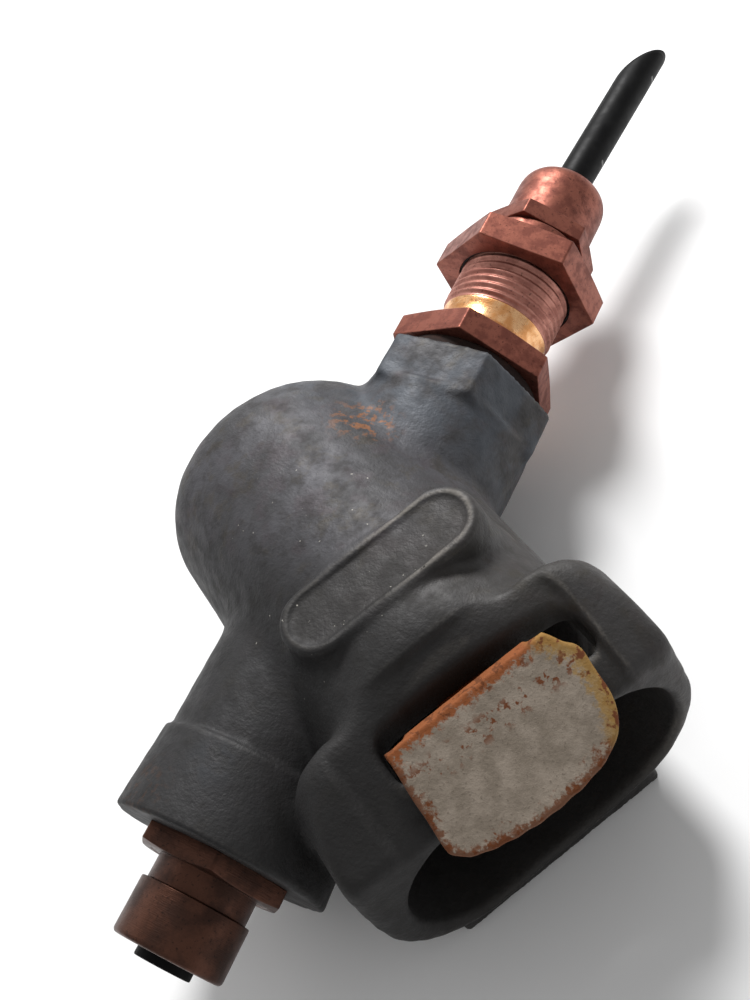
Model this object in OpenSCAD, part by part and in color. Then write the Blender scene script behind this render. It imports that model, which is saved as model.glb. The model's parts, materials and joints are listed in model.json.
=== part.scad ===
// Pressure relief valve: a cast body with an inlet fitting below, a threaded gland above,
// a side chamber that ends in an open discharge hood, and a steel easing tongue.
// Millimetres. +Y runs up the pipe axis, +Z is the plaque side, and the origin is the
// centre of the inlet tail's end face. The chamber axis leaves the pipe axis at an angle.

/* [Body casting] */
// Angle of the chamber axis below the pipe's cross direction
chamber_angle = 30; // [26:1:34]
// Height on the pipe axis where the chamber axis crosses it
chamber_y = 63.3; // [62:0.1:65]
// Outer radius of the chamber barrel
barrel_r = 21.8; // [21.4:0.1:22.4]
// Length of the chamber behind the pipe axis
dome_depth = 32.8; // [31:0.1:35]
// Radius of the dome's rounded edge
dome_round = 13.4; // [10:0.1:16]
// Inner radius of the chamber
chamber_r = 18; // [17.5:0.1:18.5]
// Outer radius of the lower pipe branch
branch_r = 15.1; // [14.6:0.1:15.6]
// Outer radius of the collar at the branch's end
collar_r = 16.4; // [16:0.1:17]
// Radius of the upper neck
neck_r = 16.2; // [15.6:0.1:16.6]
// Width across flats of the cast hexagon
cast_hex_af = 28.3; // [27:0.1:29]

/* [Discharge hood] */
// Distance from the pipe axis to the mouth, along the chamber axis
mouth_s = 48; // [47:0.1:49]
// Outer half width of the hood
hood_half_w = 26.2; // [25.5:0.1:27]
// Sideways offset of the hood's middle
hood_shift = -2.2; // [-2.6:0.1:-1.8]
// Slope of the hood's front facet, in degrees
facet_slope = 33; // [31:1:35]
// Half width of the mouth's opening
mouth_half_w = 22.2; // [21.5:0.1:22.6]

/* [Fittings] */
// Outer radius of the round inlet tail
tail_r = 8.4; // [8:0.1:8.8]
// Outer radius of the gland's thread
thread_r = 10; // [9.8:0.1:10]
// Thread pitch of the gland
pitch = 1.5; // [1:0.5:1.5]
// Width across flats of the gland's own hexagon
gland_af = 26; // [25:0.1:27]
// Width across flats of the lock nut
lock_af = 25.8; // [25:0.1:27]
// Width across flats of the gland cap's hexagon
cap_af = 18.7; // [18:0.1:19]
// Outer radius of the gland cap
cap_r = 8.2; // [8:0.1:8.4]
// Outer radius of the black tube
tube_r = 3.27; // [3.1:0.01:3.3]

/* [Easing tongue] */
// Thickness of the tongue plate
tongue_t = 1.8; // [1.5:0.1:2]
// Gap between the tongue and the hood's facet
tongue_gap = 1; // [0.9:0.1:1.2]

/* [Hidden] */
$fn = 72;
eps = 0.01;

// Places along the pipe axis
tail_y = [0, 8.2];
adapter_hex_y = [11.7, 14.9];
adapter_top_y = 26;
collar_y = [16.6, 27.5];
collar_chamfer = 0.7;
seat_y = [41, 46.5];
seal_y = 48.3;
disc_y = 52.5;
lift_collar_y = [60.6, 62.6];
lower_plate_y = [74.5, 76];
upper_plate_y = [88, 89.5];
plug_y = [89.5, 94];
hex_flat_y = 89.6;
neck_top_y = 98.4;
gland_hex_y = [101.2, 105.8];
relief_y = [106.8, 110];
lock_y = [121, 126.3];
spacer_y = [126.4, 127.7];
gland_collar_y = [127.7, 130.3];
cap_hex_y = [130.5, 133.8];
cap_shoulder_y = 142;
cap_top_y = 145.2;
cap_roof_y = 140.4;
head_top_y = 138;
tube_low_y = 112;
tube_bend_y = 144;
tube_tip_y = 184.5;

// Corner angles of the hexagons, measured from +Z towards +X
cast_hex_turn = 38.2;
gland_hex_turn = 14.6;
lock_hex_turn = -6.3;
cap_hex_turn = 6.7;
adapter_hex_turn = 34;

// Radii inside
inlet_bore_r = 9;
spigot_r = 9.9;
neck_bore_r = 10.05;
seat_r = 9.85;
spindle_r = 2.5;
fit = 0.05;
head_r = 7;
head_bore_r = 4.9;
adapter_bore_r = 5;
tail_bore_r = 6;
inlet_tube_r = 4.3;

// Places along the chamber axis: s forward, w sideways, n towards the plaque
hood_back_s = 30;
hood_low_n = -19;
hood_top_n = 16.6;
foot_n = -21.8;
foot_s = [35, 46.4];
foot_w = [-21, 14.4];
mouth_low_n = -15.5;
mouth_top_n = 8.4;
mouth_round = 9;
hood_low_round = 15;
hood_top_round = 9;
facet_s = 38.4;
facet_n = 15.8;
slot_s = [35.6, 41.4];
slot_w = [-14.2, 16.5];
arm_space_s = [20, 42];
arm_space_n = 12.4;
plaque_s = 18.7;
plaque_w = 0.5;
plaque_len = 30.5;
plaque_wide = 11.2;
plaque_n = 22.3;
pivot_s = -13;
pivot_pin_r = 2;
pivot_post_r = 4;
arm_n = [7.5, 10];
hub_top_n = 11;
post_top_n = 7;
boss_low_n = 11.4;
pin_top_n = 16;
arm_half_w = 4.5;
riser_s = [38.2, 40.2];
riser_w = [-10, 9];
rivet_s = [24, 30];
tongue_n = facet_n - (riser_s[0] - facet_s) * tan(facet_slope) + tongue_gap / cos(facet_slope);

// A round or many-sided piece along the pipe axis, from y0 up
module along_pipe(y0) {
    translate([0, y0, 0]) rotate([-90, 0, 0]) children();
}

// A ring or disc along the pipe axis, between two heights
module ring(span, outer, inner = 0) {
    along_pipe(span[0]) difference() {
        cylinder(h = span[1] - span[0], r = outer);
        if (inner > 0) translate([0, 0, -1]) cylinder(h = span[1] - span[0] + 2, r = inner);
    }
}

// A hexagonal prism along the pipe axis with its corner tips turned off
module hexagon(span, flats, turn, tip) {
    high = span[1] - span[0];
    corner_r = flats / sqrt(3);
    along_pipe(span[0]) intersection() {
        rotate(turn - 90) cylinder(h = high, r = corner_r, $fn = 6);
        union() {
            cylinder(h = tip, r1 = corner_r - tip, r2 = corner_r);
            translate([0, 0, tip]) cylinder(h = high - 2 * tip, r = corner_r);
            translate([0, 0, high - tip]) cylinder(h = tip, r1 = corner_r, r2 = corner_r - tip);
        }
    }
}

// The chamber's own axes: x forward to the mouth, y sideways, z towards the plaque
module chamber_frame() {
    translate([0, chamber_y, 0]) rotate([0, 0, -chamber_angle]) children();
}

// An outline in the sideways and plaque directions, extruded along the chamber axis
module along_chamber(s0, s1) {
    translate([s0, 0, 0]) rotate([90, 0, 90]) linear_extrude(s1 - s0) children();
}

// A rounded outline with its own radius at the top and at the bottom
module round_outline(w0, w1, n0, n1, low_round, top_round) {
    hull() {
        for (w = [w0 + low_round, w1 - low_round])
            translate([w, n0 + low_round]) circle(low_round, $fn = 40);
        for (w = [w0 + top_round, w1 - top_round])
            translate([w, n1 - top_round]) circle(top_round, $fn = 40);
    }
}

// Everything above the hood's sloping facet
module above_facet() {
    translate([facet_s, 0, facet_n]) rotate([0, facet_slope, 0])
        translate([-60, -60, 0]) cube([120, 120, 60]);
}

module barrel() {
    flat_r = barrel_r - dome_round;
    rotate([0, 90, 0]) rotate_extrude() intersection() {
        union() {
            translate([flat_r, dome_round - dome_depth]) circle(dome_round);
            translate([0, -dome_depth]) square([flat_r, dome_depth]);
            translate([0, dome_round - dome_depth])
                square([barrel_r, dome_depth - dome_round + hood_back_s + 4]);
        }
        translate([0, -50]) square([50, 100]);
    }
}

module hood() {
    difference() {
        along_chamber(hood_back_s, mouth_s)
            round_outline(hood_shift - hood_half_w, hood_shift + hood_half_w,
                hood_low_n, hood_top_n + 4, hood_low_round, hood_top_round);
        above_facet();
    }
    translate([foot_s[0], foot_w[0], foot_n])
        cube([foot_s[1] - foot_s[0], foot_w[1] - foot_w[0], hood_low_n - foot_n + 3]);
}

module plaque() {
    half = (plaque_len - plaque_wide) / 2;
    translate([plaque_s, plaque_w, 0]) {
        for (side = [-1, 1])
            translate([0, side * half, 12]) cylinder(h = plaque_n - 12, d = plaque_wide);
        translate([-plaque_wide / 2, -half, 12])
            cube([plaque_wide, 2 * half, plaque_n - 12]);
    }
}

// Outer form of the branch, the neck and the hexagon along the pipe axis
module pipe_form() {
    ring([collar_y[0], collar_y[1]], collar_r);
    along_pipe(collar_y[1]) cylinder(h = collar_chamfer, r1 = collar_r, r2 = branch_r);
    ring([collar_y[1], chamber_y], branch_r);
    ring([chamber_y, hex_flat_y], neck_r);
    hexagon([hex_flat_y, neck_top_y], cast_hex_af, cast_hex_turn, 0.6);
}

// Space inside the chamber and the hood, without the posts that stand in it
module chamber_space() {
    mouth_w0 = hood_shift - mouth_half_w + 0.6;
    difference() {
        rotate([0, 90, 0]) translate([0, 0, -dome_depth + 5]) cylinder(h = dome_depth + 29, r = chamber_r);
        translate([pivot_s, 0, boss_low_n]) cylinder(h = 12, r = pivot_post_r + 0.5);
        translate([pivot_s, 0, -22]) cylinder(h = 22 + post_top_n, r = pivot_post_r);
    }
    along_chamber(hood_back_s - 4, mouth_s + 5)
        round_outline(mouth_w0, mouth_w0 + 2 * mouth_half_w, mouth_low_n, mouth_top_n,
            mouth_round, mouth_round);
    translate([arm_space_s[0], slot_w[0], 0])
        cube([arm_space_s[1] - arm_space_s[0], slot_w[1] - slot_w[0], arm_space_n]);
    translate([slot_s[0], slot_w[0], arm_space_n - 4])
        cube([slot_s[1] - slot_s[0], slot_w[1] - slot_w[0], 20]);
}

module valve_body() {
    color([0.25, 0.25, 0.27]) difference() {
        union() {
            difference() {
                union() {
                    chamber_frame() {
                        barrel();
                        hood();
                        plaque();
                    }
                    pipe_form();
                }
                chamber_frame() chamber_space();
            }
            ring([collar_y[1], seat_y[1]], branch_r - 1);
        }
        ring([collar_y[0] - 1, adapter_top_y + 2], spigot_r + fit);
        ring([adapter_top_y, seat_y[0] + 1], inlet_bore_r);
        ring([seat_y[0], seat_y[1] + 1], seat_r + fit);
        ring([lower_plate_y[0], neck_top_y + 1], neck_bore_r);
        chamber_frame() translate([pivot_s, 0, foot_n - 3]) {
            cylinder(h = pin_top_n - foot_n + 3.1, r = pivot_pin_r);
            cylinder(h = 5.2, r = 3.5);
        }
    }
}

// Inlet side
module inlet_tail() {
    color([0.4, 0.26, 0.18]) difference() {
        ring(tail_y, tail_r);
        ring([-1, 5.5], inlet_tube_r + fit);
        ring([3, tail_y[1] + 1], tail_bore_r + 0.6);
    }
}

module inlet_adapter() {
    color([0.36, 0.24, 0.18]) difference() {
        union() {
            ring([4.5, adapter_hex_y[0] + eps], tail_bore_r + 0.6 - fit);
            ring([tail_y[1] + eps, adapter_hex_y[0] + eps], tail_r - 0.75);
            hexagon(adapter_hex_y, 21, adapter_hex_turn, 0.5);
            ring([adapter_hex_y[1] - eps, adapter_top_y], spigot_r);
        }
        ring([4, adapter_top_y + 1], adapter_bore_r);
    }
}

module inlet_washer() {
    color([0.3, 0.2, 0.15]) ring([adapter_hex_y[1] + eps, collar_y[0] - eps], 11.2, spigot_r + fit);
}

module inlet_olive() {
    color([0.7, 0.55, 0.25]) ring([3.1, 4.4], 6.4, inlet_tube_r + fit);
}

module inlet_tube() {
    color([0.06, 0.06, 0.06]) ring([-1.3, 3.9], inlet_tube_r, 2.9);
}

module inlet_screen() {
    color([0.7, 0.7, 0.7]) difference() {
        ring([adapter_top_y + 0.3, adapter_top_y + 1], spigot_r);
        for (turn = [0:45:315]) rotate([0, turn, 0]) {
            translate([6, 0, 0]) ring([adapter_top_y, adapter_top_y + 2], 1.2);
            translate([2.8, 0, 0]) ring([adapter_top_y, adapter_top_y + 2], 0.7);
        }
    }
}

module screen_clip() {
    color([0.6, 0.6, 0.62]) difference() {
        ring([adapter_top_y + 1.1, adapter_top_y + 2], spigot_r, 8.2);
        translate([6, adapter_top_y, -2]) cube([4, 3, 4]);
    }
}

module seat_ring() {
    color([0.75, 0.6, 0.3]) difference() {
        union() {
            ring([seat_y[0] + eps, seat_y[1] - 1], seat_r);
            along_pipe(seat_y[1] - 1) cylinder(h = 1, r1 = seat_r - 1, r2 = 7.6);
        }
        ring([seat_y[0] - 1, seat_y[1] + 1], 6.5);
    }
}

// The pieces that lift together off the seat
module disc_seal() {
    color([0.1, 0.1, 0.1]) ring([seat_y[1] + eps, seal_y], 8.4);
}

module valve_disc() {
    color([0.75, 0.6, 0.3]) difference() {
        union() {
            ring([seal_y + eps, disc_y], 9.4);
            along_pipe(disc_y - eps) cylinder(h = 2, r1 = 6, r2 = 4.4);
        }
        ring([disc_y - 2, disc_y + 3], spindle_r + eps);
    }
}

module spindle() {
    color([0.7, 0.7, 0.72]) difference() {
        ring([disc_y - 1.9, gland_hex_y[0] - 3], spindle_r);
        ring([lift_collar_y[1] + 0.1, lift_collar_y[1] + 0.9], spindle_r + 1, spindle_r - 0.5);
    }
}

module lift_collar() {
    color([0.7, 0.55, 0.3]) ring(lift_collar_y, 7, spindle_r + eps);
}

module collar_clip() {
    color([0.55, 0.55, 0.58]) difference() {
        ring([lift_collar_y[1] + 0.12, lift_collar_y[1] + 0.86], 4.3, spindle_r - 0.45);
        translate([-1.5, lift_collar_y[1], 0]) cube([3, 2, 6]);
    }
}

module lower_spring_plate() {
    color([0.65, 0.65, 0.67]) {
        ring(lower_plate_y, 9.6, spindle_r + eps);
        ring([lower_plate_y[1] - eps, lower_plate_y[1] + 1.6], 5, spindle_r + eps);
    }
}

spring_r = 7.6;
spring_wire_r = 1.05;
spring_turns = 4;
spring_steps = 22;
spring_sides = 8;
spring_low_y = lower_plate_y[1] + spring_wire_r + 0.05;
spring_high_y = upper_plate_y[0] - spring_wire_r - 0.05;
spring_rings = spring_turns * spring_steps;
function spring_turn(i) = 360 * i / spring_steps;
function spring_point(i, k) =
    let (turn = spring_turn(i), side = 360 * k / spring_sides, r = spring_r + spring_wire_r * cos(side))
    [r * sin(turn), spring_low_y + (spring_high_y - spring_low_y) * i / spring_rings
        + spring_wire_r * sin(side), r * cos(turn)];

module relief_spring() {
    count = spring_sides;
    points = [for (i = [0:spring_rings]) for (k = [0:count - 1]) spring_point(i, k)];
    walls = [for (i = [0:spring_rings - 1]) for (k = [0:count - 1])
        [i * count + k, i * count + (k + 1) % count,
            (i + 1) * count + (k + 1) % count, (i + 1) * count + k]];
    start_cap = [[for (k = [0:count - 1]) count - 1 - k]];
    end_cap = [[for (k = [0:count - 1]) spring_rings * count + k]];
    color([0.6, 0.6, 0.62]) polyhedron(points, concat(walls, start_cap, end_cap));
}

module upper_spring_plate() {
    color([0.65, 0.65, 0.67]) {
        ring([upper_plate_y[0], upper_plate_y[1] - eps], 9.6, spindle_r + 0.3);
        ring([upper_plate_y[0] - 1.6, upper_plate_y[0] + eps], 5, spindle_r + 0.3);
    }
}

module adjusting_plug() {
    color([0.72, 0.58, 0.3]) difference() {
        ring(plug_y, neck_bore_r - fit, spindle_r + 0.3);
        for (turn = [0, 180]) rotate([0, turn, 0])
            translate([5, plug_y[1] - 2, -1]) cube([6, 3, 2]);
    }
}

// Gland side
module neck_washer() {
    color([0.12, 0.09, 0.08]) ring([neck_top_y + eps, gland_hex_y[0] - eps], 12.4, thread_r + fit);
}

// Outline of the outer thread between two heights, for a turned solid
function thread_outline(y0, y1) =
    let (count = floor((y1 - y0) / pitch))
    concat([[0, y0]],
        [for (i = [0:count - 1]) each [
            [thread_r - 0.75, y0 + i * pitch], [thread_r, y0 + (i + 0.42) * pitch],
            [thread_r, y0 + (i + 0.58) * pitch], [thread_r - 0.75, y0 + (i + 1) * pitch]]],
        [[thread_r - 0.75, y1], [0, y1]]);

module gland_body() {
    color([0.72, 0.45, 0.35]) difference() {
        union() {
            ring([plug_y[1] + 0.3, gland_hex_y[0] + eps], thread_r - 0.02);
            hexagon(gland_hex_y, gland_af, gland_hex_turn, 0.6);
            ring([gland_hex_y[1] - eps, relief_y[0]], 10.6);
            ring([relief_y[0] - eps, relief_y[1]], 9.2);
            rotate([-90, 0, 0]) rotate_extrude() polygon(thread_outline(relief_y[1], lock_y[1]));
            ring([lock_y[1] - eps, head_top_y], head_r);
        }
        ring([plug_y[1], 130.1], tube_r + 0.4);
        ring([130, head_top_y + 1], head_bore_r);
        ring([plug_y[1], tube_low_y - 3], 5);
    }
}

module thread_ring() {
    color([0.08, 0.08, 0.08]) ring([lock_y[0] + eps, lock_y[0] + 0.9], 11, thread_r + fit);
}

module lock_nut() {
    color([0.75, 0.47, 0.37]) difference() {
        hexagon(lock_y, lock_af, lock_hex_turn, 0.8);
        ring([lock_y[0] - 1, lock_y[1] + 1], thread_r + 0.06);
        ring([lock_y[0] - 1, lock_y[0] + 0.95], 11.06);
    }
}

module spacer_washer() {
    color([0.6, 0.38, 0.3]) ring([spacer_y[0] + eps, spacer_y[1] - eps], 10.8, head_r + fit);
}

module gland_collar() {
    color([0.65, 0.42, 0.33]) ring([gland_collar_y[0], gland_collar_y[1]], 9.6, head_r + fit);
}

module gland_seal() {
    color([0.08, 0.08, 0.08]) ring([130.1, head_top_y + 0.2], head_bore_r - eps, tube_r + 0.01);
}

module slip_washer() {
    color([0.7, 0.6, 0.35]) ring([head_top_y + 0.4, head_top_y + 1.4], 6.7, tube_r + 0.6);
}

module gland_cap() {
    round_r = cap_top_y - cap_shoulder_y;
    color([0.65, 0.4, 0.32]) difference() {
        union() {
            hexagon(cap_hex_y, cap_af, cap_hex_turn, 0.5);
            ring([cap_hex_y[1] - eps, cap_shoulder_y], cap_r);
            along_pipe(0) rotate_extrude() intersection() {
                union() {
                    translate([cap_r - round_r, cap_shoulder_y]) circle(round_r);
                    translate([0, cap_shoulder_y - eps]) square([cap_r - round_r, round_r + eps]);
                }
                translate([0, cap_shoulder_y - eps]) square([20, 20]);
            }
        }
        ring([cap_hex_y[0] - 1, cap_roof_y], head_r + 0.06);
        ring([cap_roof_y - 1, cap_top_y + 1], tube_r + 0.8);
    }
}

module tube_stop() {
    color([0.75, 0.6, 0.3]) ring([tube_low_y - 2, tube_low_y - eps], 3.6, 2);
}

tube_lean = 3.4;
tube_cut = 58;
tube_cut_mid = 34.5;
tube_wall = 1.1;
bend_gap = 0.3;

// One rod along the tube's path: straight, a ball at the slight bend, then leaning
module tube_path(radius, past = 0) {
    ring([tube_low_y - past, tube_bend_y - bend_gap], radius);
    translate([0, tube_bend_y, 0]) sphere(radius + bend_gap);
    leaning_part() ring([bend_gap, tube_tip_y - tube_bend_y + past], radius);
}

module leaning_part() {
    translate([0, tube_bend_y, 0]) rotate([0, 0, -tube_lean]) children();
}

module sensing_tube() {
    color([0.05, 0.05, 0.05]) difference() {
        tube_path(tube_r);
        tube_path(tube_r - tube_wall, 1);
        leaning_part() translate([0, tube_cut_mid, 0]) rotate([0, 0, tube_cut])
            translate([-30, 0, -10]) cube([60, 30, 20]);
    }
}

// The easing lever, which swings on the pivot pin
module easing_arm() {
    color([0.6, 0.6, 0.58]) chamber_frame() difference() {
        union() {
            translate([pivot_s, -arm_half_w, arm_n[0]])
                cube([riser_s[0] - pivot_s - 0.6, 2 * arm_half_w, arm_n[1] - arm_n[0]]);
            translate([pivot_s, 0, arm_n[0]]) cylinder(h = hub_top_n - arm_n[0], r = 5);
        }
        translate([pivot_s, 0, arm_n[0] - 1]) cylinder(h = 6, r = 3);
        for (s = rivet_s) translate([s, 0, arm_n[0] - 1]) cylinder(h = 5, r = 1.25);
        translate(peg_place()) cylinder(h = 30, r = peg_r + eps, center = true);
    }
}

// The lift peg stands beside the spindle, just under the lift collar
peg_x = 4.6;
peg_r = 1.5;
peg_y = lift_collar_y[0] - 2;
function peg_place() =
    let (dy = peg_y - chamber_y)
    [peg_x * cos(chamber_angle) - dy * sin(chamber_angle),
        peg_x * sin(chamber_angle) + dy * cos(chamber_angle), 0];

module lift_peg() {
    color([0.7, 0.7, 0.72]) translate([peg_x, peg_y, -3.5]) cylinder(h = arm_n[1] + 3.5, r = peg_r);
}

module arm_bush() {
    color([0.75, 0.6, 0.3]) chamber_frame() translate([pivot_s, 0, arm_n[0]]) difference() {
        cylinder(h = hub_top_n - arm_n[0], r = 3);
        translate([0, 0, -1]) cylinder(h = 6, r = pivot_pin_r + fit);
    }
}

// Outline of the tongue seen square on: x along the slope, y sideways
module tongue_outline() {
    hull() {
        translate([0, -12.9]) square([1, 24.1]);
        translate([14.6, -11.1]) circle(2.8, $fn = 32);
        translate([9.9, 5.7]) circle(7.3, $fn = 32);
        translate([6, 12]) circle(2, $fn = 32);
        translate([16.2, -3]) circle(1, $fn = 32);
    }
}

module easing_tongue() {
    strap_n = [arm_n[1] + eps, arm_n[1] + 1.9];
    color([0.62, 0.61, 0.57]) chamber_frame() difference() {
        union() {
            translate([22, -arm_half_w, strap_n[0]]) cube([riser_s[0] - 21.5, 2 * arm_half_w, 1.9]);
            translate([riser_s[0], riser_w[0], arm_n[0] + 2])
                cube([riser_s[1] - riser_s[0], riser_w[1] - riser_w[0], tongue_n - arm_n[0] - 1]);
            translate([riser_s[0], 0, tongue_n]) rotate([0, facet_slope, 0])
                linear_extrude(tongue_t) tongue_outline();
        }
        for (s = rivet_s) translate([s, 0, strap_n[0] - 1]) cylinder(h = 4, r = 1.25);
    }
}

module tongue_rivets() {
    color([0.6, 0.6, 0.6]) chamber_frame() for (s = rivet_s) translate([s, 0, 0]) {
        translate([0, 0, arm_n[0] - 0.2]) cylinder(h = 4.7, r = 1.24);
        translate([0, 0, arm_n[0] - 0.8]) cylinder(h = 0.79, r = 2.2);
    }
}

module pivot_pin() {
    color([0.7, 0.7, 0.72]) chamber_frame()
        translate([pivot_s, 0, foot_n + 3.3]) cylinder(h = pin_top_n - foot_n - 3.4, r = pivot_pin_r - eps);
}

module pivot_washer() {
    color([0.7, 0.7, 0.7]) chamber_frame() translate([pivot_s, 0, post_top_n + eps]) difference() {
        cylinder(h = arm_n[0] - post_top_n - 0.06, r = 4);
        translate([0, 0, -1]) cylinder(h = 3, r = pivot_pin_r + fit);
    }
}

module pivot_plug() {
    color([0.5, 0.5, 0.5]) chamber_frame() translate([pivot_s, 0, foot_n + 0.5]) difference() {
        cylinder(h = 1.69, r = 3.45);
        translate([-5, -0.4, -1]) cube([10, 0.8, 1.6]);
    }
}

valve_body();
inlet_tail();
inlet_adapter();
inlet_washer();
inlet_olive();
inlet_tube();
inlet_screen();
screen_clip();
seat_ring();
valve_disc();
disc_seal();
spindle();
lift_collar();
collar_clip();
lower_spring_plate();
relief_spring();
upper_spring_plate();
adjusting_plug();
neck_washer();
gland_body();
thread_ring();
lock_nut();
spacer_washer();
gland_collar();
gland_seal();
slip_washer();
gland_cap();
tube_stop();
sensing_tube();
easing_arm();
arm_bush();
lift_peg();
easing_tongue();
tongue_rivets();
pivot_pin();
pivot_washer();
pivot_plug();
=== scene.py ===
"""Looks for the pressure relief valve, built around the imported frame.

Shapes are worked out in millimetres, in the part's own frame: +Y up the pipe, +Z towards the
plaque. The chamber has its own directions: s forward to the mouth, w sideways, n towards the plaque.
"""
import json
import math

import bpy
import numpy as np
from mathutils import Matrix, Vector


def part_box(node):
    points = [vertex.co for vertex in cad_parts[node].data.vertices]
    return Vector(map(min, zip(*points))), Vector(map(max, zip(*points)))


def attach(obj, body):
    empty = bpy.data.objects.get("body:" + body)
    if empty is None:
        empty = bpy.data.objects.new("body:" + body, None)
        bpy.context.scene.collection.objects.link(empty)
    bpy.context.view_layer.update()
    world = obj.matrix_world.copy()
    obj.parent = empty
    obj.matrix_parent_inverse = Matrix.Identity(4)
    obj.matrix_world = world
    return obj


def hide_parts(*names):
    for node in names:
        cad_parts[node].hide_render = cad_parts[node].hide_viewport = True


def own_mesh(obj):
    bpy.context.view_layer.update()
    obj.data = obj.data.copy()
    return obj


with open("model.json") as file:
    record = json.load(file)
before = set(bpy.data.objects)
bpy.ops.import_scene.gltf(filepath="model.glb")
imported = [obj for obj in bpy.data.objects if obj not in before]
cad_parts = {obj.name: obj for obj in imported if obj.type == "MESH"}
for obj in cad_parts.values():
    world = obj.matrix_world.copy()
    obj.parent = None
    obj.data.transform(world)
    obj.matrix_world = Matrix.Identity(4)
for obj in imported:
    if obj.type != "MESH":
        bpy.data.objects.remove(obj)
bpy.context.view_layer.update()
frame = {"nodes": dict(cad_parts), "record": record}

MM = 0.001

# ---------------------------------------------------------------- sizes, in millimetres
CHAMBER_ANGLE = math.radians(30)
CHAMBER_Y = 63.3
COS = math.cos(CHAMBER_ANGLE)
SIN = math.sin(CHAMBER_ANGLE)

BARREL_R = 22.0
BARREL_SHIFT = -1.7
DOME_S = -31.3
DOME_ROUND = 11.0
BRANCH_R = 15.1
BRANCH_LOW_Y = 20
COLLAR_R = 16.5
COLLAR_TAPER = 0.055
COLLAR_TOP_Y = 27.9
NECK_R = 14.9
HEX_CORNER_R = 16.2
CAST_HEX_AF = 28.3
CAST_HEX_TURN = 38.2
HEX_FLAT_Y = 89.6

HOOD_BACK_S = 31.0
MOUTH_S = 48.0
HOOD_W = -2.25
HOOD_HALF = 26.3
HOOD_ROLL = 0.045
HOOD_TOP = 19.5
HOOD_LOW = -18.0
HOOD_REACH = 25
HOOD_TOP_ROUND = 9.0
HOOD_LOW_ROUND = 15.0
MOUTH_W = -1.6
MOUTH_HALF = 22.2
MOUTH_TOP = 8.2
MOUTH_LOW = -16.2
MOUTH_ROUND = 12.0
FACET_SLOPE = math.radians(33)
FACET_S = 38.4
FACET_N = 15.8
POCKET_RUN = (-8.3, 32.3)
POCKET_W = -1.5
POCKET_HALF = 18.1
POCKET_RIM = 0.7
SLOT_S = (35.3, 41.5)
SLOT_W = (-14.2, 16.4)
FOOT_S = (35.0, 46.4)
FOOT_W = (-21.0, 14.4)
PLAQUE_S = 18.7
PLAQUE_W = 0.5
PLAQUE_LEN = 31.4
PLAQUE_WIDE = 11.2

# Spaces inside the casting. FAR is further than any part of it reaches.
FAR = 100
CHAMBER_BACK = -27.8
CHAMBER_FRONT = 33
CHAMBER_R = 18.0
CHAMBER_ROUND = 8.0
CHAMBER_SHIFT = -0.8
MOUTH_BACK = 32
ARM_TOP = 12.4
PIVOT_S = -13
SEAT_TOP_Y = 46.5
BORES = [(9.95, -FAR, 28), (9.0, 26, 42), (9.9, 41, 47.5), (10.05, 74.5, 2 * FAR)]

# The tongue: plate above the facet, riser through the slot and strap along the lever's arm
PLATE_HEIGHT = (1.25, 2.8)
RISER = ((38.2, -10, 10), (40.2, 9, 17.3))
STRAP = ((22, -4.5, 10), (40.2, 4.5, 11.9))

# The black tube: straight up to its bend, then leaning towards +X, with a slanting cut
TUBE_R = 3.27
TUBE_BORE_R = 2.17
TUBE_LOW_Y = 112
TUBE_BEND_Y = 144.0
TUBE_LEAN = math.radians(3.4)
TUBE_CUT = math.radians(58)
TUBE_CUT_MIDDLE = 34.5


def span(node):
    """Lowest and highest y of a CAD node."""
    low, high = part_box(node)
    return low[1] / MM, high[1] / MM


def mesh_points(piece):
    """The points of an object's mesh, in millimetres."""
    points = np.empty(len(piece.data.vertices) * 3)
    piece.data.vertices.foreach_get("co", points)
    return points.reshape(-1, 3) / MM


def store(piece, name, values):
    """Keeps one number for each point of the mesh, for its material to read."""
    layer = piece.data.attributes.new(name, "FLOAT", "POINT")
    layer.data.foreach_set("value", values.astype(np.float32))


def radii(node):
    """Smallest and largest distance of a CAD node's surface from the pipe axis."""
    points = mesh_points(frame["nodes"][node])
    away = np.hypot(points[:, 0], points[:, 2])
    return float(away.min()), float(away.max())


FOOT_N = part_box("valve_body")[0][2] / MM
PLAQUE_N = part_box("valve_body")[1][2] / MM
COLLAR_Y = span("valve_body")[0]
NECK_TOP = span("valve_body")[1]


# ---------------------------------------------------------------- meshes
def outward(points, faces):
    """The faces, turned over if they look into the solid."""
    a, b, c = (points[faces[:, k]] for k in (0, 1, 2))
    d = points[faces[:, -1]]
    volume = (a * np.cross(b, c)).sum() + (a * np.cross(c, d)).sum()
    return faces[:, ::-1] if volume < 0 else faces


def make_piece(name, points, faces, body, material, replaces=()):
    """A mesh piece from points in millimetres and faces of four corners each."""
    faces = outward(np.asarray(points), np.asarray(faces, dtype=np.int32))
    points = np.asarray(points, dtype=np.float32) * MM
    mesh = bpy.data.meshes.new(name)
    mesh.vertices.add(len(points))
    mesh.vertices.foreach_set("co", points.ravel())
    mesh.loops.add(faces.size)
    mesh.loops.foreach_set("vertex_index", faces.ravel())
    mesh.polygons.add(len(faces))
    mesh.polygons.foreach_set("loop_start", np.arange(len(faces), dtype=np.int32) * faces.shape[1])
    mesh.update(calc_edges=True)
    mesh.shade_smooth()
    piece = bpy.data.objects.new(name, mesh)
    bpy.context.collection.objects.link(piece)
    mesh.materials.append(material)
    settle(piece, body, replaces)
    return piece


def settle(piece, body, replaces=()):
    """Says which body a piece rides on and which CAD nodes it stands for."""
    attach(piece, body)
    if replaces:
        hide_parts(*replaces)


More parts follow.
